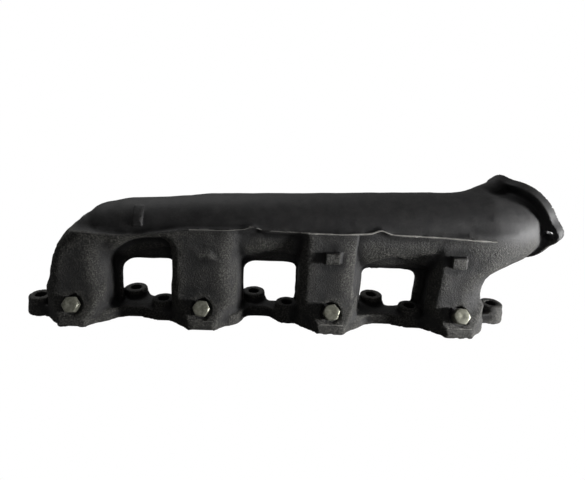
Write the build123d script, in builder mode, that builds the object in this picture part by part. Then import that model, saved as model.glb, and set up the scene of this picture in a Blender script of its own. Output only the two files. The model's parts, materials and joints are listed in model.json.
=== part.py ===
"""Cast-iron exhaust manifold of log pattern for one bank of a V8 engine, in millimetres.

The head flange lies on Z = 0 and faces -Z, towards the cylinder head. The four gas ports stand along X,
and exhaust leaves at +X. The front, -Y, is the side with the four air-injection plugs. The origin is on the
head face, midway between the middle ports. The iron is one casting: it is written as eight sections that
meet face to face, so that each hollow stays simple. The four plugs are separate pieces.
"""

import os
from math import cos, radians, sin

from build123d import *

# Head flange: a plate with one pad for each port, ears for the bolts and bridges between the pads.
bore_pitch = 122.94
port_x = [(index - 1.5) * bore_pitch for index in range(4)]
port_width, port_depth, port_corner = 36.0, 46.0, 9.0
plate_thickness = 10.5
pad_depth, pad_corner, pad_margin = 60.0, 12.0, 0.5
front_bolt_offset = (-45.5, -10.0)
rear_bolt_offsets = [(43.5, 12.5), (43.5, 12.5), (43.5, 12.5), (41.0, 1.0)]
bolt_hole_radius = 5.5
ear_radius, ear_height = 12.0, 18.0
bridge_front_y = [-18.5, -9.0, -18.7]
bridge_rear_y = [8.0, 5.0, 2.0]
concave_radius = 8.0

# Runners: square tubes with rounded corners that flare towards the outlet where they join the log.
wall = 6.0
runner_sides = [(-29.6, 29.4), (-33.6, 32.3), (-36.0, 26.5), (-33.9, 23.5)]
runner_depth, runner_corner = 58.0, 19.0
runner_top_z = 97.0
gas_column_top_z = 76.0
flare_start_z, flare_radius = 60.0, 18.0
first_runner_slope = [(-29.6, 29.6), (-22.8, 65.3), (-12.8, 83.6), (6.0, 99.0)]
lug_width, lug_height, lug_z = 14.0, 10.5, 74.0
lug_offset_x, lug_reach = [-1.4, -5.9, -13.1], [2.0, 3.5, 5.5]

# Air-injection bosses and plugs: each axis points out of the front of a runner and up.
plug_tilt = 34.0
plug_offset_x = -4.3
plug_face_y, plug_face_z = -39.2, 23.4
plug_head_height, plug_stand_off = 7.0, 2.0
plug_across_flats, plug_chamfer = 14.3, 1.0
plug_shank_radius, plug_shank_length = 6.6, 12.0
thread_pitch, thread_depth = 1.5, 0.7
spotface_radius, spotface_depth = 9.8, 1.0
boss_width, boss_root_width = 24.0, 44.0
boss_front_y, boss_root_y = -41.2, -28.0

# Log: the collector over the runners. Each station is (x, height of the centre, half width, half height).
log_y = 6.0
log_stations = [
    (-200.0, 71.0, 7.0, 8.0),
    (-191.0, 76.4, 15.5, 15.5),
    (-172.5, 80.0, 24.0, 24.0),
    (-156.0, 84.2, 27.5, 27.5),
    (-136.5, 85.6, 29.3, 29.7),
    (-96.5, 87.3, 30.0, 30.6),
    (-57.0, 89.9, 30.5, 32.0),
    (0.0, 90.6, 31.5, 33.6),
    (115.0, 90.9, 33.0, 37.4),
    (200.0, 92.3, 34.5, 38.3),
]

# Outlet: a short elbow that bends up and to the rear, and a three-bolt flange square to its end.
bend_angle, bend_swing = 38.6, 60.0
bend_radius, bend_straight, bend_steps = 50.6, 6.1, 5
elbow_end_radius = 36.0
outlet_flange_thickness = 10.0
outlet_bore_radius, outlet_rim_radius = 29.0, 41.5
outlet_bolt_circle_radius, outlet_hole_radius, outlet_ear_radius = 38.5, 4.2, 9.0
outlet_first_ear_angle = -25.5

plug_axis = Vector(0, -cos(radians(plug_tilt)), sin(radians(plug_tilt)))
log_end_x, log_end_z, log_end_half_width, log_end_half_height = log_stations[-1]


def outlet_plane(angle, straight):
    """The cross-section of the elbow after bending by angle and running straight on; local x points up."""
    turned = radians(angle)
    side = bend_radius * (1 - cos(turned)) + straight * sin(turned)
    along = bend_radius * sin(turned) + straight * cos(turned)
    swing = Vector(0, sin(radians(bend_swing)), cos(radians(bend_swing)))
    axis = Vector(1, 0, 0) * cos(turned) + swing * sin(turned)
    up = Vector(0, 0, 1) - axis * axis.Z
    return Plane(origin=Vector(log_end_x + along, log_y, log_end_z) + swing * side, x_dir=up, z_dir=axis)


outlet_back = outlet_plane(bend_angle, bend_straight)


def seat_plane(x):
    """The bottom of the spotface of the port at x, with its normal along the plug."""
    face = Vector(x + plug_offset_x, plug_face_y, plug_face_z)
    seat = face - plug_axis * (plug_head_height + plug_stand_off)
    return Plane(origin=seat, x_dir=(1, 0, 0), z_dir=plug_axis)


def bolt_places(number, x):
    """The two bolt centres of a port, counted from 1: front left and rear right."""
    return [(x + off_x, off_y) for off_x, off_y in (front_bolt_offset, rear_bolt_offsets[number - 1])]


def loft_log(inset, first):
    """The log's outside (inset 0) or its passage, from the station numbered first to the last."""
    with BuildPart() as tube:
        for x, z, half_width, half_height in log_stations[first:]:
            with BuildSketch(Plane(origin=(x, log_y, z), x_dir=(0, 1, 0), z_dir=(1, 0, 0))):
                Ellipse(half_width - inset, half_height - inset)
        loft(ruled=True)
    return tube.part


def loft_elbow(inset):
    """The elbow's outside (inset 0) or its passage, narrowing from the log's end to the outlet flange."""
    with BuildPart() as bar:
        for step in range(bend_steps + 1):
            share = step / bend_steps
            with BuildSketch(outlet_plane(bend_angle * share, bend_straight * share)):
                Ellipse(
                    log_end_half_height + (elbow_end_radius - log_end_half_height) * share - inset,
                    log_end_half_width + (elbow_end_radius - log_end_half_width) * share - inset,
                )
        loft(ruled=True)
    return bar.part


def gas_column(x):
    """The rounded rectangular passage that rises from the port at x into the log."""
    with BuildPart() as column:
        with BuildSketch(Plane.XY.offset(-1)):
            with Locations((x, 0)):
                RectangleRounded(port_width, port_depth, port_corner)
        extrude(amount=gas_column_top_z + 1)
    return column.part


def air_boss(x):
    """The wedge under a plug: a toe at the front edge, flanks that widen and a slope facing the plug."""
    with BuildPart() as wedge:
        with BuildSketch(Plane.XY):
            with Locations((x + plug_offset_x, 0)):
                Polygon(
                    (-boss_width / 2, boss_front_y),
                    (boss_width / 2, boss_front_y),
                    (boss_root_width / 2, boss_root_y),
                    (-boss_root_width / 2, boss_root_y),
                    align=None,
                )
        extrude(amount=plug_face_z + spotface_radius)
        split(bisect_by=seat_plane(x).offset(spotface_depth), keep=Keep.BOTTOM)
    return wedge.part


def plug_tool(x):
    """What is cut for a plug: the threaded hole and the spotface."""
    with BuildPart() as tool:
        with BuildSketch(seat_plane(x)):
            Circle(plug_shank_radius)
        extrude(amount=-plug_shank_length - 4)
        with BuildSketch(seat_plane(x)):
            Circle(spotface_radius)
        extrude(amount=plug_face_z)
    return tool.part


def build_runner(number, x, boss, column, tool):
    """One runner from the plate up to the log, with its plug boss and, from the second on, its lug."""
    left, right = (x + side for side in runner_sides[number - 1])
    with BuildPart() as runner:
        with BuildSketch(Plane.XY.offset(plate_thickness)):
            with Locations(((left + right) / 2, 0)):
                RectangleRounded(right - left, runner_depth, runner_corner)
        extrude(amount=runner_top_z - plate_thickness)
        with BuildSketch(Plane.XZ):
            with BuildLine():
                foot = (right, flare_start_z)
                crest = (right + flare_radius, flare_start_z + flare_radius)
                RadiusArc(foot, crest, -flare_radius)
                Polyline(crest, (crest[0], runner_top_z), (x, runner_top_z), (x, flare_start_z), foot)
            make_face()
        extrude(amount=runner_depth / 2 - runner_corner / 2)
        if number == 1:
            with BuildSketch(Plane.XZ):
                with BuildLine():
                    slope = Spline(*[(x + px, pz) for px, pz in first_runner_slope])
                    Polyline(slope @ 1, (x - 60, slope.position_at(1).Y), (x - 60, 60), slope @ 0)
                make_face()
            extrude(amount=runner_depth, both=True, mode=Mode.SUBTRACT)
        if number > 1:
            with BuildSketch(Plane.XZ.offset(runner_depth / 2 - wall / 2)):
                with Locations((x + lug_offset_x[number - 2], lug_z)):
                    Rectangle(lug_width, lug_height)
            extrude(amount=wall / 2 + lug_reach[number - 2])
        add(boss)
        split(bisect_by=Plane.XY.offset(plate_thickness), keep=Keep.TOP)
        add(log_outside, mode=Mode.SUBTRACT)
        add(elbow_outside, mode=Mode.SUBTRACT)
        solid_below = runner.solids().sort_by(Axis.Z)[0]
        add(solid_below, mode=Mode.REPLACE)
        add(column, mode=Mode.SUBTRACT)
        add(tool, mode=Mode.SUBTRACT)
        with BuildSketch(Plane.XY.offset(plate_thickness)):
            with Locations(*bolt_places(number, x)):
                Circle(ear_radius)
        extrude(amount=ear_height - plate_thickness, mode=Mode.SUBTRACT)
    runner.part.label = f"runner_{number}"
    return runner.part


def build_plug(number, x):
    """A hex-head pipe plug: chamfered head, neck and a shank of V-shaped thread rings."""
    seat = seat_plane(x)
    profile = Plane(origin=seat.origin, x_dir=seat.x_dir, z_dir=-seat.y_dir)
    spin = Axis(seat.origin, seat.z_dir)
    head_top = plug_stand_off + plug_head_height
    corner = plug_across_flats / 2 / cos(radians(30))
    root = plug_shank_radius - thread_depth
    ring_count = int((plug_shank_length + plug_stand_off) / thread_pitch)
    ring_points = []
    for ring in range(ring_count):
        z = -plug_shank_length + ring * thread_pitch
        ring_points += [(root, z), (plug_shank_radius, z + thread_pitch / 2)]
    with BuildPart() as plug:
        with BuildSketch(seat.offset(plug_stand_off)):
            RegularPolygon(plug_across_flats / 2, 6, major_radius=False)
        extrude(amount=plug_head_height)
        with BuildSketch(profile):
            Polygon(
                (0, plug_stand_off),
                (corner, plug_stand_off),
                (corner, head_top - plug_chamfer / 2),
                (corner - 2 * plug_chamfer, head_top),
                (0, head_top),
                align=None,
            )
        revolve(axis=spin, mode=Mode.INTERSECT)
        with BuildSketch(profile):
            Polygon((0, -plug_shank_length), *ring_points, (root, plug_stand_off), (0, plug_stand_off), align=None)
        revolve(axis=spin)
    plug.part.label = f"air_plug_{number}"
    return plug.part


log_outside = loft_log(0, 0)
log_passage = loft_log(wall, 1)
elbow_outside = loft_elbow(0)
elbow_passage = loft_elbow(wall)
air_bosses = [air_boss(x) for x in port_x]
gas_columns = [gas_column(x) for x in port_x]
plug_tools = [plug_tool(x) for x in port_x]

# Head flange with its ears. The front bosses reach down past its edge to the head face.
with BuildPart() as head_flange:
    with BuildSketch(Plane.XY):
        for number, (x, (left, right)) in enumerate(zip(port_x, runner_sides), start=1):
            with Locations((x + (left + right) / 2, 0)):
                RectangleRounded(right - left + 2 * pad_margin, pad_depth, pad_corner)
            for bolt_x, bolt_y in bolt_places(number, x):
                with Locations((bolt_x, bolt_y)):
                    Circle(ear_radius)
                with Locations(((bolt_x + x) / 2, bolt_y)):
                    Rectangle(abs(bolt_x - x), 2 * ear_radius)
        for front, rear, left in zip(bridge_front_y, bridge_rear_y, port_x):
            with Locations((left + bore_pitch / 2, (front + rear) / 2)):
                Rectangle(bore_pitch, rear - front)
        offset(amount=concave_radius, kind=Kind.ARC)
        offset(amount=-concave_radius, kind=Kind.ARC, mode=Mode.REPLACE)
    extrude(amount=plate_thickness)
    for boss in air_bosses:
        add(boss)
    split(bisect_by=Plane.XY.offset(plate_thickness), keep=Keep.BOTTOM)
    for number, x in enumerate(port_x, start=1):
        with BuildSketch(Plane.XY.offset(plate_thickness)):
            with Locations(*bolt_places(number, x)):
                Circle(ear_radius)
        extrude(amount=ear_height - plate_thickness)
    for number, (x, column, tool) in enumerate(zip(port_x, gas_columns, plug_tools), start=1):
        add(column, mode=Mode.SUBTRACT)
        add(tool, mode=Mode.SUBTRACT)
        with BuildSketch(Plane.XY):
            with Locations(*bolt_places(number, x)):
                Circle(bolt_hole_radius)
        extrude(amount=ear_height, mode=Mode.SUBTRACT)
head_flange.part.label = "head_flange"

# Log: the hollow collector, open below into each runner and at its outlet end.
with BuildPart() as log:
    add(log_outside)
    add(log_passage, mode=Mode.SUBTRACT)
    for column in gas_columns:
        add(column, mode=Mode.SUBTRACT)
log.part.label = "log"

# Outlet elbow: a bent tube between the log and the flange.
with BuildPart() as outlet_elbow:
    add(elbow_outside)
    add(elbow_passage, mode=Mode.SUBTRACT)
    add(gas_columns[-1], mode=Mode.SUBTRACT)
outlet_elbow.part.label = "outlet_elbow"

# Outlet flange: three ears round a bored rim.
with BuildPart() as outlet_flange:
    with BuildSketch(outlet_back):
        Circle(outlet_rim_radius)
        with PolarLocations(outlet_bolt_circle_radius, 3, outlet_first_ear_angle):
            Circle(outlet_ear_radius)
        make_hull()
        with PolarLocations(outlet_bolt_circle_radius, 3, outlet_first_ear_angle):
            Circle(outlet_hole_radius, mode=Mode.SUBTRACT)
        Circle(outlet_bore_radius, mode=Mode.SUBTRACT)
    extrude(amount=outlet_flange_thickness)
outlet_flange.part.label = "outlet_flange"

runners = [
    build_runner(number, *places)
    for number, places in enumerate(zip(port_x, air_bosses, gas_columns, plug_tools), start=1)
]
plugs = [build_plug(number, x) for number, x in enumerate(port_x, start=1)]

os.makedirs("parts", exist_ok=True)
for piece in [head_flange.part, *runners, log.part, outlet_elbow.part, outlet_flange.part, *plugs]:
    export_step(piece, f"parts/{piece.label}.step")
    print(piece.label, round(piece.volume), len(piece.solids()))
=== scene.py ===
"""A cast-iron exhaust manifold with its four air-injection plugs, set on its head face."""

import json
from math import cos, pi, radians, sin, tan

import bmesh
import bpy
import numpy as np
import openvdb
from mathutils import Matrix, Vector


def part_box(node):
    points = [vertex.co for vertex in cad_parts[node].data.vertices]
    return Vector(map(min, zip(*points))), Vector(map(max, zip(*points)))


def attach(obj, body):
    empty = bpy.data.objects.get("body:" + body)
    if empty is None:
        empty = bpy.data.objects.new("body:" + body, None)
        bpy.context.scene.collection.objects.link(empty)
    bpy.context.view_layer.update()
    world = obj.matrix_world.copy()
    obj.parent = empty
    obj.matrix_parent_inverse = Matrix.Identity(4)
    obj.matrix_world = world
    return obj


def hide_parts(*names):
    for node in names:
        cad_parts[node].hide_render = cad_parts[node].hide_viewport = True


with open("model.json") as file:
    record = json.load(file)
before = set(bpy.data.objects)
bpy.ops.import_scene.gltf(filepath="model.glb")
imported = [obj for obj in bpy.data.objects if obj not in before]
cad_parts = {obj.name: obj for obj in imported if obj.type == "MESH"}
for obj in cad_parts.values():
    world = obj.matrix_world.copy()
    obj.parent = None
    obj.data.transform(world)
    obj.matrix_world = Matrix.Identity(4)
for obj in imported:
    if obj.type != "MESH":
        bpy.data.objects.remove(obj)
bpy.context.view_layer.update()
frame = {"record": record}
mounts = {mount["name"]: mount for mount in frame["record"]["mounts"]}

# ---------------------------------------------------------------------------------------------------------
# The casting. One piece of grey iron from a sand mould: the head flange, four square runners, the log over
# them, the outlet elbow and its three-eared flange. Its form is a field of distances in millimetres, built
# up and cut as a patternmaker would, and then skinned. Machined faces and drilled holes are cut last.
mm = 0.001
casting_nodes = ["head_flange", "runner_1", "runner_2", "runner_3", "runner_4"]
casting_nodes += ["log", "outlet_elbow", "outlet_flange"]
corners = [[value / mm for value in corner] for node in casting_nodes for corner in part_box(node)]
step = 0.92
margin = 4 * step
axes = [
    np.arange(min(side) - margin, max(side) + margin, step, dtype=np.float32) for side in zip(*corners)
]
x, y, z = np.ix_(*axes)


def blend(first, second, reach):
    """Joins two forms with a fillet that reaches that far from their meeting line."""
    share = np.clip(0.5 + 0.5 * (second - first) / reach, 0, 1)
    return second + (first - second) * share - reach * share * (1 - share)


def common(first, second, reach):
    """What two forms share, with its edges softened."""
    return -blend(-first, -second, reach)


def slab(value, low, high):
    return np.maximum(low - value, value - high)


def rounded(across, through, radius):
    """The crossing of two extents, with rounded edges."""
    across, through = across + radius, through + radius
    outer = np.sqrt(np.maximum(across, 0) ** 2 + np.maximum(through, 0) ** 2)
    return outer + np.minimum(np.maximum(across, through), 0) - radius


def tube(stations, inset=0.0, tuck=1.0):
    """A pipe through stations of (x, y, z, radius across, radius up); tuck over 1 pulls its front in."""
    field = np.float32(1e3)
    for start, end in zip(stations, stations[1:]):
        x0, y0, z0, across0, up0 = start
        run = [b - a for a, b in zip(start, end)]
        length_squared = run[0] ** 2 + run[1] ** 2 + run[2] ** 2
        share = ((x - x0) * run[0] + (y - y0) * run[1] + (z - z0) * run[2]) / length_squared
        share = np.clip(share, 0, 1)
        across = across0 + run[3] * share - inset
        up = up0 + run[4] * share - inset
        gap = (x - x0 - run[0] * share) ** 2 + (z - z0 - run[2] * share) ** 2
        depth = y - y0 - run[1] * share
        gap = gap + (np.where(depth < 0, depth * tuck, depth) * up / across) ** 2
        field = np.minimum(field, np.sqrt(gap) - up)
    return field


def unevenness(spacing, height, seed):
    """Smooth random hills of a given spacing, as sand leaves on a casting."""
    hills = np.random.default_rng(seed).standard_normal([int(len(a) * step / spacing) + 2 for a in axes])
    for axis in axes:
        place = (axis - axis[0]) / spacing
        cell = place.astype(int)
        share = place - cell
        share = share * share * (3 - 2 * share)
        weights = np.zeros((len(axis), hills.shape[0]))
        weights[np.arange(len(axis)), cell] = 1 - share
        weights[np.arange(len(axis)), cell + 1] = share
        hills = np.tensordot(hills, weights, (0, 1))
    return (height * hills).astype(np.float32)


# Head flange: a plate with a pad for each port, joined by bridges that are cut in at the front.
openings = {opening["name"]: opening["box_m"] for opening in frame["record"]["physics"]["openings"]}
port_x = [sum(corner[0] for corner in openings[f"port_passage_{n}"]) / 2 / mm for n in range(1, 5)]
port_pitch = port_x[1] - port_x[0]
runner_sides = [(-29.6, 29.4), (-33.6, 32.3), (-36.0, 26.5), (-33.9, 23.5)]
front_bolt, rear_bolts = (-45.5, -10.0), [(43.5, 12.5), (43.5, 12.5), (43.5, 12.5), (41.0, 1.0)]
bolts = [(px + off[0], off[1]) for px, rear in zip(port_x, rear_bolts) for off in (front_bolt, rear)]
plate_thickness, ear_radius, ear_height = 10.5, 11.8, 18.0
plan = np.float32(1e3)
for px, (left, right) in zip(port_x, runner_sides):
    plan = np.minimum(plan, rounded(slab(x, px + left, px + right), slab(y, -29.5, 29.5), 12))
for (bolt_x, bolt_y), inward in zip(bolts, (1, -1) * 4):
    toward = np.clip(x, *sorted((bolt_x, bolt_x + 25 * inward)))
    plan = blend(plan, np.hypot(x - toward, y - bolt_y) - ear_radius, 5)
for left, front, rear in zip(port_x, (-18.2, -8.6, -18.4), (8.0, 5.0, 2.0)):
    plan = blend(plan, np.maximum(slab(x, left, left + port_pitch), slab(y, front, rear)), 14)
casting = rounded(plan - 0.5 * (z < 3.6), slab(z, -3, plate_thickness), 1.2)
for bolt_x, bolt_y in bolts:
    ear = np.hypot(x - bolt_x, y - bolt_y) - ear_radius + 0.07 * (z - 10)
    casting = blend(casting, rounded(ear, slab(z, 0, ear_height), 1.5), 3)

# Runners: one slab standing on the plate, pierced by three arches that rise to the parting line. Each has
# a wide sweep at its first upper corner, and each runner is rounder on the side of the outlet.
parting_x = (-210, -198, -173, -158, -142, -120, -103, -78, -30, 24, 61, 88, 108, 150, 200, 260)
parting_z = (88, 90, 91.8, 90.0, 89.4, 91.0, 93.4, 97.4, 98.0, 97.3, 97.2, 98.2, 98.0, 97.3, 95.6, 95)
hump_places, hump_height, hump_width = (-19.0, 98.0), 3.4, 6.5


def parting_height(place):
    """Height of the parting line, with a hump where the second and third runner sweep into it."""
    height = np.interp(place, parting_x, parting_z).astype(place.dtype)
    for hump in hump_places:
        height = height + hump_height * np.exp(-(((place - hump) / hump_width) ** 2))
    return height


parting = parting_height(x)
end_z = (0, 30, 50, 65, 75, 84, 90, 96)
end_x = (-214, -213.8, -211.3, -207, -202.6, -196.8, -192, -186)
end_profile = np.interp(z, end_z, end_x)
elbow_flare = np.interp(z, (40, 50, 56, 60, 64, 70, 84), (0, 1.5, 4.5, 8.5, 14.0, 20.0, 24.0))
outline = np.maximum((end_profile - x) * 0.93, x - port_x[3] - runner_sides[3][1] - elbow_flare)
outline_radius = np.interp(x, (-200, -165), (9, 23))
sweeps = ((42.0, 32.0, -6.0), (22.0, 40.0, 0.0), (23.0, 38.0, 0.0))
corner_radii = ((23, 9), (24, 10), (28, 12))
for number, ((across, rise, drop), (first, second)) in enumerate(zip(sweeps, corner_radii)):
    left = port_x[number] + runner_sides[number][1]
    right = port_x[number + 1] + runner_sides[number + 1][0]
    top = float(np.interp((left + right) / 2, parting_x, parting_z)) + 1 + drop
    arch = rounded(slab(x, left, right), slab(z, -60, top), 10)
    out = np.maximum(left + across - x, 0) / across
    rise_share = np.maximum(z - top + rise, 0) / rise
    reach = np.sqrt(out * out + rise_share * rise_share)
    steepness = np.sqrt((out / across) ** 2 + (rise_share / rise) ** 2) + 1e-6
    arch = np.maximum(arch, np.where((out > 0) & (rise_share > 0), reach * (reach - 1) / steepness, -99))
    outline = np.maximum(outline, -arch)
    radii = np.interp(x, (left - 2, left + 14, right - 8, right), (first, 9, 9, second))
    outline_radius = np.where((x >= left - 10) & (x < right + 20), radii, outline_radius)
outline_radius = np.where(x > port_x[3] - 8, 28, outline_radius).astype(np.float32)
lean = 1.5 * np.clip((z - 50) / 46, 0, 1) ** 2
lean = lean + np.interp(x, (185, 215), (0, 5)) * np.clip((z - 60) / 30, 0, 1)
runners = rounded(outline, slab(y, -29 + lean, 29), outline_radius)
runners = np.maximum(np.maximum(runners, z - parting), 4 - z)
casting = blend(casting, runners, 5)

# The log and the outlet elbow, one pipe that grows towards the outlet and bends up and to the rear there.
outlet_axis = Vector(mounts["outlet_bore"]["axis"])
outlet_face = Vector(mounts["outlet_bolts"]["pos_m"]) / mm
flange_thickness = mounts["outlet_bore"]["dims"]["length_mm"]
log_y, wall = 6.0, 6.0
log_stations = [
    (-176.5, log_y, 77.0, 24.0, 19.5),
    (-171.0, log_y, 79.0, 26.0, 22.5),
    (-156.0, log_y, 84.0, 28.0, 27.0),
    (-136.5, log_y, 85.6, 29.4, 29.6),
    (-96.5, log_y, 87.3, 30.0, 30.6),
    (-57.0, log_y, 89.9, 30.6, 32.0),
    (0.0, log_y, 90.6, 31.2, 33.6),
    (115.0, log_y, 90.9, 32.6, 37.4),
    (200.0, log_y, 92.3, 34.2, 38.3),
]
bend_start = Vector(log_stations[-1][:3])
outlet_back = outlet_face - outlet_axis * flange_thickness
bend_angle = outlet_axis.angle(Vector((1, 0, 0)))
bend_side = Vector((0, outlet_axis.y, outlet_axis.z)).normalized()
bend_radius, bend_steps = 50.6, 8
elbow_drop, outlet_radius = 2.6, 34.0
for share in [number / bend_steps for number in range(1, bend_steps + 1)]:
    turned = bend_angle * share
    place = bend_start + Vector((1, 0, 0)) * bend_radius * sin(turned)
    place += bend_side * bend_radius * (1 - cos(turned))
    place.z -= elbow_drop * share
    log_stations.append((*place, 34.2 - 0.2 * share, 38.3 - 4.3 * share))
log_stations.append((*(outlet_face - Vector((0, 0, elbow_drop))), outlet_radius, outlet_radius))
pull_x = (-180, -150, -90, -60, 0, 40, 80, 130, 190)
pull = np.interp(x, pull_x, (0, 0.30, 0.28, 0.2, 0.2, 0.16, 0.06, 0.07, 0))
log_body = tube(log_stations, 0.0, 1 + pull * np.clip((parting - z) / 5, 0, 1).astype(np.float32))
casting = blend(casting, log_body, np.interp(x, (160, 200), (4, 12)).astype(np.float32))

# The lower front half of the log is a little proud of the upper one. It ends in an arched lip over each
# window, and at the parting line in a ledge.
lip_x = (-160, -152, -138, -134, -127, -115, -98, -60, -28, -9, 12, 28, 60, 88, 95, 108, 118, 128, 150, 260)
lip_z = (30, 50, 61.6, 65.6, 69.6, 73.3, 75.6, 76, 68, 73.5, 74.2, 70, 76, 61, 67, 73.5, 73.8, 70, 62, 60)
lip = np.interp(x, lip_x, lip_z).astype(np.float32)
proud = np.interp(x, (-168, -146, 150, 190), (-1.5, 1.4, 1.4, 0.2))
skirt = rounded(log_body - proud, slab(z, lip, parting), 0.6)
skirt = np.maximum(np.maximum(skirt, y - 4), slab(x, -168, 196))
casting = np.minimum(casting, skirt)

# Behind the lips a thin web closes the arches' upper corners in coves: left, right, top and both radii.
windows = ((-149.5, -96.0, 59.2, 20, 7), (-28.4, 24.3, 59.7, 13, 9), (88.4, 143.5, 55.5, 7, 14))
for left, right, top, first, second in windows:
    corner = np.where(x < (left + right) / 2, first, second).astype(np.float32)
    gap = rounded(slab(x, left, right), slab(z, -60, top), corner)
    web = np.maximum(np.maximum(-gap, slab(y, -6, 2)), slab(x, left - 9, right + 9))
    casting = blend(casting, np.maximum(web, slab(z, 5, 84)), 3)

# Outlet flange: a rim with three ears, and a gusset that runs up from the log to the top ear.
outlet_up = (Vector((0, 0, 1)) - outlet_axis * outlet_axis.z).normalized()
outlet_side = outlet_axis.cross(outlet_up)
local = [x - outlet_back.x, y - outlet_back.y, z - outlet_back.z]
along, up, side = (
    sum(part * direction for part, direction in zip(local, axis))
    for axis in (outlet_axis, outlet_up, outlet_side)
)
rim_radius, ear_circle, outlet_ear_radius = 41.2, 38.5, 8.8
ear_places = [
    (ear_circle * cos(radians(angle)), ear_circle * sin(radians(angle))) for angle in (-25.5, 94.5, 214.5)
]
rim = np.hypot(up, side) - rim_radius
for ear_up, ear_side in ear_places:
    rim = blend(rim, np.hypot(up - ear_up, side - ear_side) - outlet_ear_radius, 9)
casting = blend(casting, rounded(rim, slab(along, 0, flange_thickness + 4), 1.4), 4)
gusset_start = Vector((182.0, 8.0, 121.5))
gusset_end = outlet_back + outlet_up * ear_places[0][0] * 0.93 + outlet_side * ear_places[0][1] * 0.93
run = gusset_end - gusset_start
share = (x - gusset_start.x) * run.x + (y - gusset_start.y) * run.y + (z - gusset_start.z) * run.z
share = np.clip(share / run.length_squared, 0, 1)
gusset = np.sqrt(
    (x - gusset_start.x - run.x * share) ** 2
    + (y - gusset_start.y - run.y * share) ** 2
    + (z - gusset_start.z - run.z * share) ** 2
)
casting = blend(casting, gusset - 9.6, 4)
rib_up, rib_side = (33.0 * turn(radians(-82)) for turn in (cos, sin))
rib = rounded(np.hypot(up - rib_up, side - rib_side) - 7.5, slab(along, -16, 5), 2)
casting = blend(casting, rib, 6)

# Air-injection bosses: a toe at the flange's front edge and a slope that faces each plug.
plug_tilt, plug_offset_x = radians(34.0), -4.3
plug_face = Vector((0, -39.2, 23.4))
plug_axis = Vector((0, -cos(plug_tilt), sin(plug_tilt)))
head_height, stand_off, spotface_radius = 7.0, 2.0, 10.0
plug_seat = plug_face - plug_axis * (head_height + stand_off)
seats = [Vector((px + plug_offset_x, 0, 0)) + plug_seat for px in port_x]
plug_height = (y - seats[0].y) * plug_axis.y + (z - seats[0].z) * plug_axis.z
plug_level = (y - seats[0].y) * plug_axis.z - (z - seats[0].z) * plug_axis.y
for seat in seats:
    flank = (np.abs(x - seat.x) - 12.5 - 0.76 * (y + 41.2)) / 1.256
    boss = common(common(flank, -41.2 - y, 1.5), plug_height - 1.0, 1.5)
    boss = np.maximum(np.maximum(boss, -3 - z), y + 24)
    casting = blend(casting, boss, 8)

# Casting lugs on the last three runners, and a vent pad on the log's front.
lug_z, lug_size = 74.0, (6.9, 5.2)
for px, offset, reach in zip(port_x[1:], (-1.4, -5.9, -13.1), (0.3, 3.2, 5.6)):
    lug = np.maximum(np.abs(x - px - offset) - lug_size[0], np.abs(z - lug_z) - lug_size[1])
    lug = rounded(lug, slab(y, -29 - reach + 0.12 * (z - lug_z), -20), 0.7)
    casting = blend(casting, lug, 1.2)
pad = rounded(slab(x, -129.5, -120.5), slab(z, 97, 113), 1)
casting = np.minimum(casting, np.maximum(pad, log_body - 1.1))

casting += unevenness(14, 0.16, 1) + unevenness(4.5, 0.09, 2)

# Passages: a rounded rectangular one up from each port and a round one along the log.
passages = tube(log_stations[1:], wall, 1 + pull)
for px in port_x:
    corner = np.where(z < plate_thickness, 9, 16).astype(np.float32)
    column = rounded(slab(x, px - 18, px + 18), slab(y, -23, 23), corner)
    passages = blend(passages, np.maximum(column, slab(z, -20, 76)), 5)
casting = np.maximum(casting, -passages)

# Machining: both faces, the outlet's mouth, the bolt holes, and a spotface and a hole for each plug.
casting = np.maximum(casting, -z)
casting = np.maximum(casting, along - flange_thickness)
mouth = np.maximum(np.hypot(up, side) - mounts["outlet_bore"]["dims"]["r_mm"], -along)
casting = np.maximum(casting, -mouth)
for ear_up, ear_side in ear_places:
    hole = np.hypot(up - ear_up, side - ear_side) - mounts["outlet_bolts"]["dims"]["hole_r_mm"]
    casting = np.maximum(casting, -np.maximum(hole, slab(along, -9, 30)))
ear_spot_radius, tapped_radius, tapped_depth = 9.5, 6.6, 16
for bolt_x, bolt_y in bolts:
    hole = np.hypot(x - bolt_x, y - bolt_y) - mounts["port_1_bolts"]["dims"]["hole_r_mm"]
    casting = np.maximum(casting, -np.maximum(hole, z - 40))
    spot = np.maximum(np.hypot(x - bolt_x, y - bolt_y) - ear_spot_radius, slab(z, ear_height, 30))
    casting = np.maximum(casting, -spot)
for seat in seats:
    ring = np.hypot(x - seat.x, plug_level)
    casting = np.maximum(casting, -np.maximum(ring - tapped_radius, slab(plug_height, -tapped_depth, 1)))
    casting = np.maximum(casting, -np.maximum(ring - spotface_radius, slab(plug_height, 0, 30)))


def sample(points):
    """The field at any points, in millimetres."""
    place = [(points[:, k] - axes[k][0]) / step for k in range(3)]
    cell = [np.clip(value.astype(int), 0, len(axes[k]) - 2) for k, value in enumerate(place)]
    share = [value - whole for value, whole in zip(place, cell)]
    total = 0
    for corner in np.ndindex(2, 2, 2):
        weight = np.prod([s if c else 1 - s for s, c in zip(share, corner)], axis=0)
        total = total + weight * casting[cell[0] + corner[0], cell[1] + corner[1], cell[2] + corner[2]]
    return total


def slope(points):
    """The field's gradient at any points: the way out of the iron."""
    reach = 0.6 * step
    shifts = np.eye(3) * reach
    return np.stack([sample(points + s) - sample(points - s) for s in shifts], axis=1) / (2 * reach)


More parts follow.
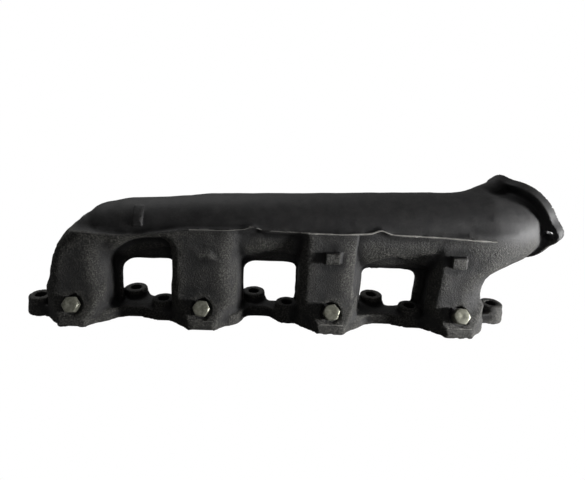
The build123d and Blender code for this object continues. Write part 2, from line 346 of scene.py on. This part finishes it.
def skin(name):
    """The casting's surface as a mesh in metres, with normals taken from the field."""
    grid = openvdb.FloatGrid(4 * step)
    grid.copyFromArray(np.ascontiguousarray(np.clip(casting, -4 * step, 4 * step)))
    grid.transform = openvdb.createLinearTransform(voxelSize=step)
    points, triangles, quads = grid.convertToPolygons(isovalue=0.0, adaptivity=0.25)
    points = points.astype(float) + [axis[0] for axis in axes]
    for _ in range(2):
        steepness = slope(points)
        points -= steepness * (sample(points) / np.maximum((steepness**2).sum(1), 0.2))[:, None]
    normals = slope(points)
    normals /= np.linalg.norm(normals, axis=1)[:, None]
    mesh = bpy.data.meshes.new(name)
    mesh.from_pydata((points * mm).tolist(), [], triangles.tolist() + quads.tolist())
    mesh.polygons.foreach_set("use_smooth", [True] * len(mesh.polygons))
    probed = [mesh.polygons[number] for number in range(0, 5000, 50)]
    facing = sum(face.normal.dot(Vector(normals[face.vertices[0]])) for face in probed)
    if facing < 0:
        mesh.flip_normals()
    mesh.normals_split_custom_set_from_vertices(normals.tolist())
    # Convexity (crown) and openness along the normal (lift) at each point, kept as an attribute: the iron
    # colour darkens low values as painted shade and pales high ones, partly as wear and partly as painted
    # highlight.
    tangent = np.cross(normals, (0.31, 0.55, 0.77))
    tangent /= np.linalg.norm(tangent, axis=1)[:, None]
    across = np.cross(normals, tangent)
    crown = sum(sample(points + 7 * side) for side in (tangent, -tangent, across, -across)) / 4
    lift = sample(points + 7 * normals) - 7
    exposed = np.clip(0.5 + 0.24 * crown + 0.05 * lift, 0, 1)
    mesh.attributes.new("exposed", "FLOAT", "POINT").data.foreach_set("value", exposed.astype(np.float32))
    return mesh


casting_piece = bpy.data.objects.new("manifold_casting", skin("manifold_casting"))
bpy.context.scene.collection.objects.link(casting_piece)


class Wire:
    """A node's output that can be used in arithmetic."""

    tree = None

    def __init__(self, socket):
        self.socket = socket

    @classmethod
    def node(cls, kind, settings=None, inputs=None, output=0):
        """Adds a node, with its settings first, then values or wires for its sockets."""
        made = cls.tree.nodes.new(kind)
        for key, value in (settings or {}).items():
            if key == "stops":
                ramp = made.color_ramp.elements
                while len(ramp) < len(value):
                    ramp.new(0.5)
                for element, (position, colour) in zip(ramp, value):
                    element.position, element.color = position, colour
            else:
                setattr(made, key, value)
        for key, value in (inputs or {}).items():
            if isinstance(value, Wire):
                cls.tree.links.new(value.socket, made.inputs[key])
            else:
                made.inputs[key].default_value = value
        return cls(made.outputs[output])

    def maths(self, operation, other=0.0, third=0.0):
        inputs = {0: self, 1: other, 2: third}
        return Wire.node("ShaderNodeMath", {"operation": operation}, inputs)

    def __add__(self, other):
        return self.maths("ADD", other)

    def __mul__(self, other):
        return self.maths("MULTIPLY", other)

    def __sub__(self, other):
        return self.maths("SUBTRACT", other)

    def __rsub__(self, other):
        return (self * -1.0) + other

    __radd__ = __add__
    __rmul__ = __mul__

    def ramp(self, low, high):
        """0 at low, 1 at high, with eased ends."""
        settings = {"interpolation_type": "SMOOTHSTEP"}
        inputs = {"Value": self, "From Min": low, "From Max": high}
        return Wire.node("ShaderNodeMapRange", settings, inputs)


def noise(place, scale, detail=3.0, roughness=0.55):
    inputs = {"Vector": place, "Scale": scale, "Detail": detail, "Roughness": roughness}
    return Wire.node("ShaderNodeTexNoise", None, inputs)


def tint(factor, dark, light):
    settings = {"data_type": "RGBA"}
    return Wire.node("ShaderNodeMix", settings, {0: factor, 6: dark, 7: light}, 2)


def start_material(name):
    """An empty material with its shader; what is added next goes into it."""
    material = bpy.data.materials.new(name)
    material.use_nodes = True
    Wire.tree = material.node_tree
    return material, Wire.tree.nodes["Principled BSDF"]


def plug_in(shader, name, value):
    if isinstance(value, Wire):
        Wire.tree.links.new(value.socket, shader.inputs[name])
    else:
        shader.inputs[name].default_value = value


def iron_material():
    """Sand-cast iron dipped in thin black: painted shade darkens its hollows, and where it stands out, most
    below the parting line, a paler grainy skin is partly wear and partly painted highlight.
    """
    material, shader = start_material("sand_cast_iron")
    place = Wire.node("ShaderNodeTexCoord", output="Object")
    separate = Wire.node("ShaderNodeSeparateXYZ", None, {0: place}, 2)
    exposed = Wire.node("ShaderNodeAttribute", {"attribute_name": "exposed"}, output="Fac")
    grain = noise(place, 620.0, 5.0, 0.7)
    fine = noise(place, 1400.0, 2.0, 0.5)
    patches = noise(place, 24.0, 3.0, 0.6)
    streaks = noise(place, 90.0, 3.0, 0.6)
    # Below the parting line the grain is deeper and the skin paler; that paleness is painted light, which
    # leaves the upper log darker.
    below_line = 1 - separate.ramp(0.086, 0.100)
    # Convex, open places turn to the paler sandy skin: partly edge wear, partly painted highlight.
    wear_and_painted_light = exposed.ramp(0.30, 0.85) * (0.20 + below_line * 0.80) + (patches - 0.5) * 0.45
    sand_skin_and_painted_light = wear_and_painted_light.ramp(0.0, 0.9)
    # Hollows darken towards black: painted shade.
    painted_hollow_shade = 1 - exposed.ramp(0.15, 0.5)
    dark_iron = tint(streaks.ramp(0.35, 0.65), (0.0110, 0.0108, 0.0114, 1), (0.0165, 0.0161, 0.0163, 1))
    dark_iron = tint(painted_hollow_shade * 0.7, dark_iron, (0.0028, 0.0027, 0.0029, 1))
    speckle = grain.ramp(0.44, 0.66)
    rough_skin = tint(speckle, (0.015, 0.0147, 0.0135, 1), (0.072, 0.0700, 0.0630, 1))
    painted = tint(sand_skin_and_painted_light, dark_iron, rough_skin)
    # Above one, a value only the fins carry, the colour turns to pale broken iron; the fins' graded values
    # make part of that paleness a painted highlight.
    painted = tint(exposed.ramp(1.2, 1.8), painted, (0.22, 0.215, 0.20, 1))
    outlet_back_m = outlet_back * mm
    offset = Wire.node(
        "ShaderNodeVectorMath", {"operation": "SUBTRACT"}, {0: place, 1: tuple(outlet_back_m)}
    )
    rise = Wire.node(
        "ShaderNodeVectorMath", {"operation": "DOT_PRODUCT"}, {0: offset, 1: tuple(outlet_axis)}, 1
    )
    outlet_cut = rise.ramp((flange_thickness - 0.55) * mm, (flange_thickness - 0.38) * mm)
    head_cut = 1 - separate.ramp(0.00030, 0.00045)
    cut = head_cut.maths("MAXIMUM", outlet_cut)
    strokes = Wire.node(
        "ShaderNodeTexWave",
        {"bands_direction": "X"},
        {"Vector": place, "Scale": 260.0, "Distortion": 1.2, "Detail": 2.0},
        1,
    )
    milled = tint(strokes, (0.20, 0.195, 0.185, 1), (0.29, 0.285, 0.275, 1))
    plug_in(shader, "Base Color", tint(cut, painted, milled))
    plug_in(shader, "Metallic", cut * 0.85)
    satin = 0.52 + patches * 0.08 + grain * 0.16
    plug_in(shader, "Roughness", satin * (1 - cut) + cut * 0.34)
    shader.inputs["Specular IOR Level"].default_value = 0.22
    height = (grain * 0.8 + fine * 0.2) * (0.18 + below_line * 0.5 + sand_skin_and_painted_light * 0.5) * (1 - cut)
    bump = Wire.node("ShaderNodeBump", None, {"Strength": 1.0, "Distance": 0.0013, "Height": height})
    plug_in(shader, "Normal", bump)
    return material


casting_piece.data.materials.append(iron_material())
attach(casting_piece, "root")
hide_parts(*casting_nodes)

# ---------------------------------------------------------------------------------------------------------
# Flash. Iron that crept between the halves of the mould and was only knocked off: a thin, ragged fin that
# follows the parting line along the front, and one along the toe of each air boss.


def front_of(x_at, z_at, start=-60.0):
    """How far forward the iron reaches at some places, looking along Y."""
    deep = np.full(len(x_at), start)
    for _ in range(60):
        deep += np.clip(sample(np.stack([x_at, deep, z_at], axis=1)), 0, 3) * 0.9
    return deep


def fin_tree(material):
    """Sweeps a thin diamond along each edge of a chain of points, thicker and thinner at random."""
    tree = bpy.data.node_groups.new("flash_fin", "GeometryNodeTree")
    tree.interface.new_socket("Geometry", in_out="INPUT", socket_type="NodeSocketGeometry")
    for name in ("Thickness", "Raggedness"):
        tree.interface.new_socket(name, in_out="INPUT", socket_type="NodeSocketFloat")
    tree.interface.new_socket("Geometry", in_out="OUTPUT", socket_type="NodeSocketGeometry")
    given = tree.nodes.new("NodeGroupInput")
    result = tree.nodes.new("NodeGroupOutput")
    line = tree.nodes.new("GeometryNodeMeshToCurve")
    noise_node = tree.nodes.new("ShaderNodeTexNoise")
    noise_node.inputs["Scale"].default_value = 70.0
    ragged = tree.nodes.new("ShaderNodeMapRange")
    ragged.inputs["From Min"].default_value = 0.36
    ragged.inputs["From Max"].default_value = 0.60
    spread = tree.nodes.new("ShaderNodeMath")
    spread.operation = "SUBTRACT"
    spread.inputs[0].default_value = 1.0
    radius = tree.nodes.new("GeometryNodeSetCurveRadius")
    outline_node = tree.nodes.new("GeometryNodeCurvePrimitiveCircle")
    outline_node.inputs["Resolution"].default_value = 4
    sweep = tree.nodes.new("GeometryNodeCurveToMesh")
    sweep.inputs["Fill Caps"].default_value = True
    real = tree.nodes.new("GeometryNodeRealizeInstances")
    finish = tree.nodes.new("GeometryNodeSetMaterial")
    finish.inputs["Material"].default_value = material
    for source, target in (
        (given.outputs["Geometry"], line.inputs[0]),
        (noise_node.outputs[0], ragged.inputs["Value"]),
        (given.outputs["Raggedness"], spread.inputs[1]),
        (spread.outputs[0], ragged.inputs["To Min"]),
        (line.outputs[0], radius.inputs[0]),
        (ragged.outputs[0], radius.inputs["Radius"]),
        (radius.outputs[0], sweep.inputs["Curve"]),
        (given.outputs["Thickness"], outline_node.inputs["Radius"]),
        (outline_node.outputs[0], sweep.inputs["Profile Curve"]),
        (sweep.outputs[0], real.inputs[0]),
        (real.outputs[0], finish.inputs[0]),
        (finish.outputs[0], result.inputs[0]),
    ):
        tree.links.new(source, target)
    if "Scale" in sweep.inputs:
        tree.links.new(ragged.outputs[0], sweep.inputs["Scale"])
    return tree


iron = casting_piece.data.materials[0]
flash_tree = fin_tree(iron)
flash_inputs = {i.name: i.identifier for i in flash_tree.interface.items_tree if i.in_out == "INPUT"}


def fin(name, places, thickness, raggedness, bare_and_painted_light):
    """One fin along a chain of places in millimetres; its bare value sets how pale it is, from the casting's
    skin to broken iron, and is graded partly as painted highlight.
    """
    chain = bpy.data.meshes.new(name)
    chain.from_pydata([tuple(p) for p in places * mm], [(k, k + 1) for k in range(len(places) - 1)], [])
    holder = bpy.data.objects.new(name, chain)
    bpy.context.scene.collection.objects.link(holder)
    sweep = holder.modifiers.new("fin", "NODES")
    sweep.node_group = flash_tree
    sweep[flash_inputs["Thickness"]] = thickness * mm
    sweep[flash_inputs["Raggedness"]] = raggedness
    swept = bpy.data.meshes.new_from_object(holder.evaluated_get(bpy.context.evaluated_depsgraph_get()))
    bpy.data.objects.remove(holder)
    swept.name = name
    shown = swept.attributes.new("exposed", "FLOAT", "POINT")
    shown.data.foreach_set("value", [bare_and_painted_light] * len(swept.vertices))
    piece = bpy.data.objects.new(name, swept)
    bpy.context.scene.collection.objects.link(piece)
    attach(piece, "root")


line_x = np.arange(-174.0, 203.0, 1.5)
line_z = parting_height(line_x) - 0.5
line_y = front_of(line_x, line_z - 1.0)
line_y = np.convolve(np.pad(line_y, 3, "edge"), np.ones(7) / 7, "valid")
line = np.stack([line_x, line_y - 0.2, line_z], axis=1)
# The parting fins are set paler towards the outlet end, nearer the lamp: painted highlight over the broken
# iron's own pale colour.
fin("parting_flash_inlet", line[line_x < -76], 0.6, 0.5, 0.6)
fin("parting_flash_middle", line[(line_x > -78) & (line_x < 26)], 0.8, 0.5, 1.45)
fin("parting_flash_outlet", line[line_x > 24], 0.95, 0.45, 2.0)
# The toe fins also grow paler from the first plug to the fourth: painted highlight.
for number, seat in enumerate(seats, start=1):
    toe_x = np.linspace(seat.x - 11.5, seat.x + 11.5, 16)
    toe_z = np.full(16, 9.6)
    toe_y = front_of(toe_x, toe_z - 0.6)
    fin(f"toe_flash_{number}", np.stack([toe_x, toe_y, toe_z], axis=1), 0.8, 0.6, 1.0 + 0.2 * number)

# ---------------------------------------------------------------------------------------------------------
# Air plugs. Four hex-head taper pipe plugs of zinc-plated steel, turned from bar. Each is screwed into the
# slope of its boss until the taper binds, so a few threads stay in view under its head.
across_flats = 14.3
shank_radius, shank_taper, shank_length, thread_pitch = 6.0, 0.35, 11.5, 1.41
facets = 72


def plug_blank(name):
    """Head and shank without the thread, standing on the seat along +Z, with its radius kept."""
    head_top = stand_off + head_height
    face_radius = across_flats / 2 - 0.35
    mesh = bpy.data.meshes.new(name)
    shape = bmesh.new()
    reach = shape.verts.layers.float.new("radius")
    rings = []

    def ring(radius_at, height_at):
        made = []
        for facet in range(facets):
            angle = 2 * pi * facet / facets
            flat = across_flats / 2 / cos(angle % (pi / 3) - pi / 6)
            radius = radius_at(flat)
            vertex = shape.verts.new((radius * cos(angle), radius * sin(angle), height_at(flat)))
            vertex[reach] = radius
            made.append(vertex)
        rings.append(made)

    chamfer_slope = tan(radians(30))
    ring(lambda flat: 0.9, lambda flat: head_top - 0.12)
    ring(lambda flat: 1.3, lambda flat: head_top)
    ring(lambda flat: face_radius * 0.6, lambda flat: head_top)
    ring(lambda flat: face_radius - 0.15, lambda flat: head_top)
    ring(lambda flat: face_radius + 0.1, lambda flat: head_top - 0.08)
    ring(lambda flat: flat - 0.12, lambda flat: head_top - 0.08 - (flat - face_radius) * chamfer_slope)
    ring(lambda flat: flat, lambda flat: head_top - 0.22 - (flat - face_radius) * chamfer_slope)
    ring(lambda flat: flat, lambda flat: stand_off + 0.5 + (flat - face_radius) * 0.35)
    ring(lambda flat: flat - 0.3, lambda flat: stand_off + 0.2 + (flat - face_radius) * 0.35)
    ring(lambda flat: face_radius - 0.4, lambda flat: stand_off)
    ring(lambda flat: shank_radius + 0.1, lambda flat: stand_off)
    ring(lambda flat: shank_radius - 0.25, lambda flat: stand_off - 0.4)
    ring(lambda flat: shank_radius - 0.25, lambda flat: -1.0)
    ring(lambda flat: shank_radius - shank_taper - 0.25, lambda flat: -shank_length + 0.6)
    ring(lambda flat: shank_radius - shank_taper - 1.2, lambda flat: -shank_length)
    for inner, outer in zip(rings, rings[1:]):
        for facet in range(facets):
            following = (facet + 1) % facets
            shape.faces.new((inner[facet], outer[facet], outer[following], inner[following]))
    shape.faces.new(rings[0])
    shape.faces.new(list(reversed(rings[-1])))
    bmesh.ops.recalc_face_normals(shape, faces=shape.faces)
    shape.to_mesh(mesh)
    mesh.transform(Matrix.Scale(mm, 4))
    return mesh


def thread_tree(material):
    """Winds a V thread along the taper, joins it to the blank and sets the plug in its boss."""
    tree = bpy.data.node_groups.new("screw_in_plug", "GeometryNodeTree")
    for name, kind in (("Geometry", "NodeSocketGeometry"), ("Seat", "NodeSocketVector")):
        tree.interface.new_socket(name, in_out="INPUT", socket_type=kind)
    for name in ("Lean", "Turn", "Pitch"):
        tree.interface.new_socket(name, in_out="INPUT", socket_type="NodeSocketFloat")
    tree.interface.new_socket("Geometry", in_out="OUTPUT", socket_type="NodeSocketGeometry")
    given = tree.nodes.new("NodeGroupInput")
    result = tree.nodes.new("NodeGroupOutput")

    def add(kind, inputs, **settings):
        made = tree.nodes.new(kind)
        for key, value in settings.items():
            setattr(made, key, value)
        for key, value in inputs.items():
            if isinstance(value, bpy.types.NodeSocket):
                tree.links.new(value, made.inputs[key])
            else:
                made.inputs[key].default_value = value
        return made.outputs

    wound_length = shank_length + stand_off - 1.2
    turns = add("ShaderNodeMath", {0: wound_length * mm, 1: given.outputs["Pitch"]}, operation="DIVIDE")
    spiral = add(
        "GeometryNodeCurveSpiral",
        {
            "Resolution": 40,
            "Rotations": turns[0],
            "Start Radius": (shank_radius - shank_taper) * mm,
            "End Radius": shank_radius * mm,
            "Height": wound_length * mm,
        },
    )
    ridge = add("GeometryNodeCurvePrimitiveCircle", {"Resolution": 3, "Radius": 0.62 * mm}, mode="RADIUS")
    profile = {"Curve": spiral[0], "Profile Curve": ridge[0], "Fill Caps": True}
    swept = add("GeometryNodeCurveToMesh", profile)
    start = (0, 0, -(shank_length - 0.6) * mm)
    lowered = add("GeometryNodeTransform", {"Geometry": swept[0], "Translation": start})
    joined = tree.nodes.new("GeometryNodeJoinGeometry")
    tree.links.new(lowered[0], joined.inputs[0])
    tree.links.new(given.outputs["Geometry"], joined.inputs[0])
    spin = add("ShaderNodeCombineXYZ", {"Z": given.outputs["Turn"]})
    turned = add("GeometryNodeTransform", {"Geometry": joined.outputs[0], "Rotation": spin[0]})
    tip = add("ShaderNodeCombineXYZ", {"X": given.outputs["Lean"]})
    seated = add(
        "GeometryNodeTransform",
        {"Geometry": turned[0], "Translation": given.outputs["Seat"], "Rotation": tip[0]},
    )
    real = add("GeometryNodeRealizeInstances", {"Geometry": seated[0]})
    finish = add("GeometryNodeSetMaterial", {"Geometry": real[0], "Material": material})
    tree.links.new(finish[0], result.inputs[0])
    return tree


def zinc_material():
    """Turned steel under dull zinc: rings from the tool on the face, and a soft, mottled grey coat."""
    material, shader = start_material("zinc_plate")
    place = Wire.node("ShaderNodeTexCoord", output="Object")
    radius = Wire.node("ShaderNodeAttribute", {"attribute_name": "radius"}, output="Fac")
    rings = (radius * 9.0).maths("SINE") * 0.5 + 0.5
    bloom = noise(place, 420.0, 4.0, 0.6)
    specks = noise(place, 1600.0, 2.0, 0.5).ramp(0.55, 0.72)
    plated = tint(bloom.ramp(0.35, 0.68), (0.27, 0.27, 0.225, 1), (0.16, 0.16, 0.125, 1))
    plug_in(shader, "Base Color", tint(specks * 0.5, plated, (0.11, 0.108, 0.09, 1)))
    shader.inputs["Metallic"].default_value = 0.75
    plug_in(shader, "Roughness", bloom * 0.22 + rings * 0.06 + 0.30)
    height = rings * 0.5 + bloom * 0.5
    bump = Wire.node("ShaderNodeBump", None, {"Strength": 0.25, "Distance": 0.0001, "Height": height})
    plug_in(shader, "Normal", bump)
    return material


zinc = zinc_material()
plug_tree = thread_tree(zinc)
inputs = {item.name: item.identifier for item in plug_tree.interface.items_tree if item.in_out == "INPUT"}
for number, (seat, turn) in enumerate(zip(seats, (4, -3, 9, -6)), start=1):
    blank = bpy.data.objects.new("plug_blank", plug_blank("plug_blank"))
    bpy.context.scene.collection.objects.link(blank)
    winding = blank.modifiers.new("thread", "NODES")
    winding.node_group = plug_tree
    winding[inputs["Seat"]] = tuple(seat * mm)
    winding[inputs["Lean"]] = pi / 2 - plug_tilt
    winding[inputs["Turn"]] = radians(turn)
    winding[inputs["Pitch"]] = thread_pitch * mm
    solved = blank.evaluated_get(bpy.context.evaluated_depsgraph_get())
    mesh = bpy.data.meshes.new_from_object(solved)
    mesh.name = f"air_plug_{number}_turned"
    bpy.data.objects.remove(blank)
    plug = bpy.data.objects.new(mesh.name, mesh)
    bpy.context.scene.collection.objects.link(plug)
    mesh.set_sharp_from_angle(angle=radians(28))
    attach(plug, "root")
    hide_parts(f"air_plug_{number}")

# ---------------------------------------------------------------------------------------------------------
# The studio: a table and a surround that look white but light the iron only dimly, most from above and
# behind. A small soft lamp stands low at the right, with a weak one at the front left and one behind.
floor_mesh = bpy.data.meshes.new("table_top")
reach = 6.0
floor_mesh.from_pydata(
    [(-reach, -reach, -0.0004), (reach, -reach, -0.0004), (reach, reach, -0.0004), (-reach, reach, -0.0004)],
    [],
    [(0, 1, 2, 3)],
)
floor = bpy.data.objects.new("table_top", floor_mesh)
bpy.context.scene.collection.objects.link(floor)
table_material, table_shader = start_material("table_white")
table_shader.inputs["Base Color"].default_value = (0.28, 0.28, 0.28, 1)
table_shader.inputs["Roughness"].default_value = 0.9
seen = Wire.node("ShaderNodeLightPath", output="Is Camera Ray")
glow = Wire.node("ShaderNodeEmission", None, {"Color": (1, 1, 1, 1), "Strength": 1.0})
table = Wire.node("ShaderNodeMixShader", None, {0: seen, 1: Wire(table_shader.outputs[0]), 2: glow})
Wire.tree.links.new(table.socket, Wire.tree.nodes["Material Output"].inputs["Surface"])
floor_mesh.materials.append(table_material)


def soft_lamp(name, place, target, size, power):
    data = bpy.data.lights.new(name, "AREA")
    data.shape, data.size, data.energy = "DISK", size, power
    lamp = bpy.data.objects.new(name, data)
    lamp.location = place
    lamp.rotation_euler = (Vector(target) - Vector(place)).to_track_quat("-Z", "Y").to_euler()
    bpy.context.scene.collection.objects.link(lamp)


soft_lamp("key", (0.84, -0.24, 0.085), (0.05, -0.02, 0.05), 0.13, 19)
soft_lamp("back", (-0.5, 0.75, 1.5), (0, 0, 0.05), 1.0, 15)
soft_lamp("fill", (-0.5, -1.5, 1.0), (0, 0, 0.05), 0.9, 0.8)
world = bpy.data.worlds.new("surround")
world.use_nodes = True
Wire.tree = world.node_tree
seen = Wire.node("ShaderNodeLightPath", output="Is Camera Ray")
ray = Wire.node("ShaderNodeTexCoord", output="Generated")
sky = Wire.node("ShaderNodeSeparateXYZ", None, {0: ray}, 2).ramp(0.0, 0.9) * 0.17 + 0.02
sky = sky + Wire.node("ShaderNodeSeparateXYZ", None, {0: ray}, 1).ramp(0.1, 0.9) * 0.24
world.node_tree.nodes["Background"].inputs["Color"].default_value = (1, 1, 1, 1)
world.node_tree.links.new(
    seen.maths("MAXIMUM", sky).socket, world.node_tree.nodes["Background"].inputs["Strength"]
)
bpy.context.scene.world = world
bpy.context.scene.view_settings.view_transform = "Standard"

camera_data = bpy.data.cameras.new("camera")
camera = bpy.data.objects.new("camera", camera_data)
camera_data.sensor_width, camera_data.lens, camera_data.shift_x = 36.0, 28.322, 0.037
camera_place = Vector((-0.00338, -0.42078, 0.23547))
camera.matrix_world = (
    Matrix.Translation(camera_place)
    @ Matrix.Rotation(radians(-0.207), 4, "Z")
    @ Matrix.Rotation(radians(90 - 20.364), 4, "X")
    @ Matrix.Rotation(radians(1.847), 4, "Z")
)
bpy.context.scene.collection.objects.link(camera)
bpy.context.scene.camera = camera
